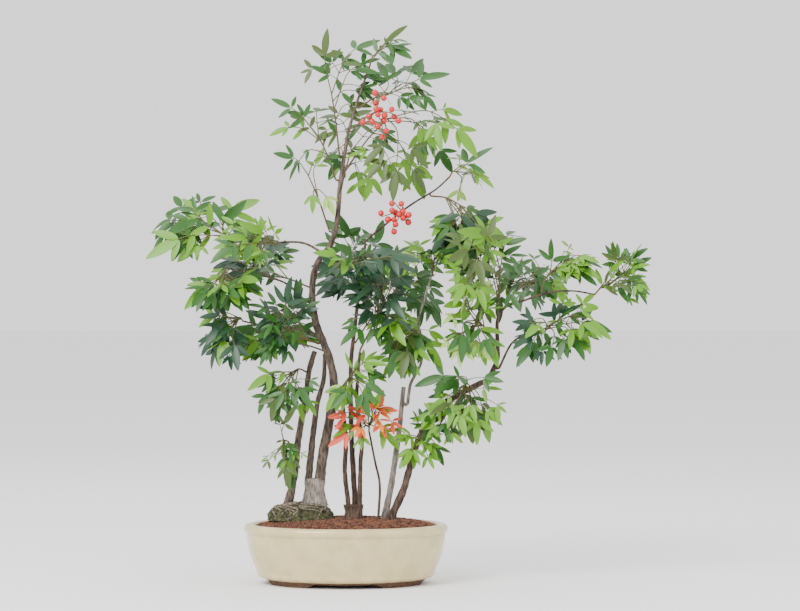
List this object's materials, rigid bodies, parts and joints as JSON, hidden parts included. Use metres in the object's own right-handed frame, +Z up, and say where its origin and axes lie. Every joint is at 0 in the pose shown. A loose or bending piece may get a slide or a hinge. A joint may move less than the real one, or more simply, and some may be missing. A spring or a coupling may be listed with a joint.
{
  "type": "potted heavenly bamboo bonsai",
  "caption": "Clump of slender canes with boughs of pointed leaves and red berries in an oval glazed pot, shown in autumn colour.",
  "frame": {"origin": "on the ground under the middle of the whole plant's bounding box; the pot's middle lies 66 mm to its left and 23 mm in front", "axes": "+Z up, +X along the pot's length to the right as seen from the front, the front faces -Y"},
  "size_m": [0.6194, 0.286, 0.6916],
  "materials": {
    "glaze": "gloss",
    "clay": "matte",
    "soil": "matte",
    "moss": "matte",
    "bark": "matte",
    "leaves": "satin",
    "berries": "gloss"
  },
  "bodies": {
    "root": {"pot": "glaze", "foot_ring": "clay", "soil": "soil", "root_mound": "moss", "twin_foot": "bark", "centre_foot": "bark", "trunk": "bark", "stem_left_outer": "bark", "stem_left_inner": "bark", "stem_centre": "bark", "stem_centre_left": "bark", "stem_centre_right": "bark", "stem_pale": "bark", "bough_pale": "bark", "stem_right": "bark", "bough_right": "bark", "bough_right_far": "bark", "bough_right_low": "bark", "stem_slender": "bark", "bough_left_upper": "bark", "bough_left_middle": "bark", "bough_left_low": "bark", "apex_stem": "bark", "bough_right_upper": "bark", "apex_left": "leaves", "crown_right": "leaves", "crown_side": "leaves", "arching": "leaves", "top_left": "leaves", "standing": "leaves", "top_back": "leaves", "berries_upper": "berries", "berries_low": "berries", "right_fronds": "leaves", "right_upper": "leaves", "right_over": "leaves", "centre_upper": "leaves", "centre_blue": "leaves", "centre_right": "leaves", "centre_mid": "leaves", "centre_low": "leaves", "centre_coral": "leaves", "centre_back": "leaves", "centre_behind": "leaves", "left_upper_front": "leaves", "left_end": "leaves", "left_mid": "leaves", "left_dark": "leaves", "left_inner": "leaves", "left_low": "leaves", "left_foot": "leaves", "left_back": "leaves", "left_low_back": "leaves", "right_mid": "leaves", "right_back": "leaves", "right_far_up": "leaves", "right_tip": "leaves", "right_far_low": "leaves", "right_low": "leaves", "low_right": "leaves"}
  },
  "joints": []
}
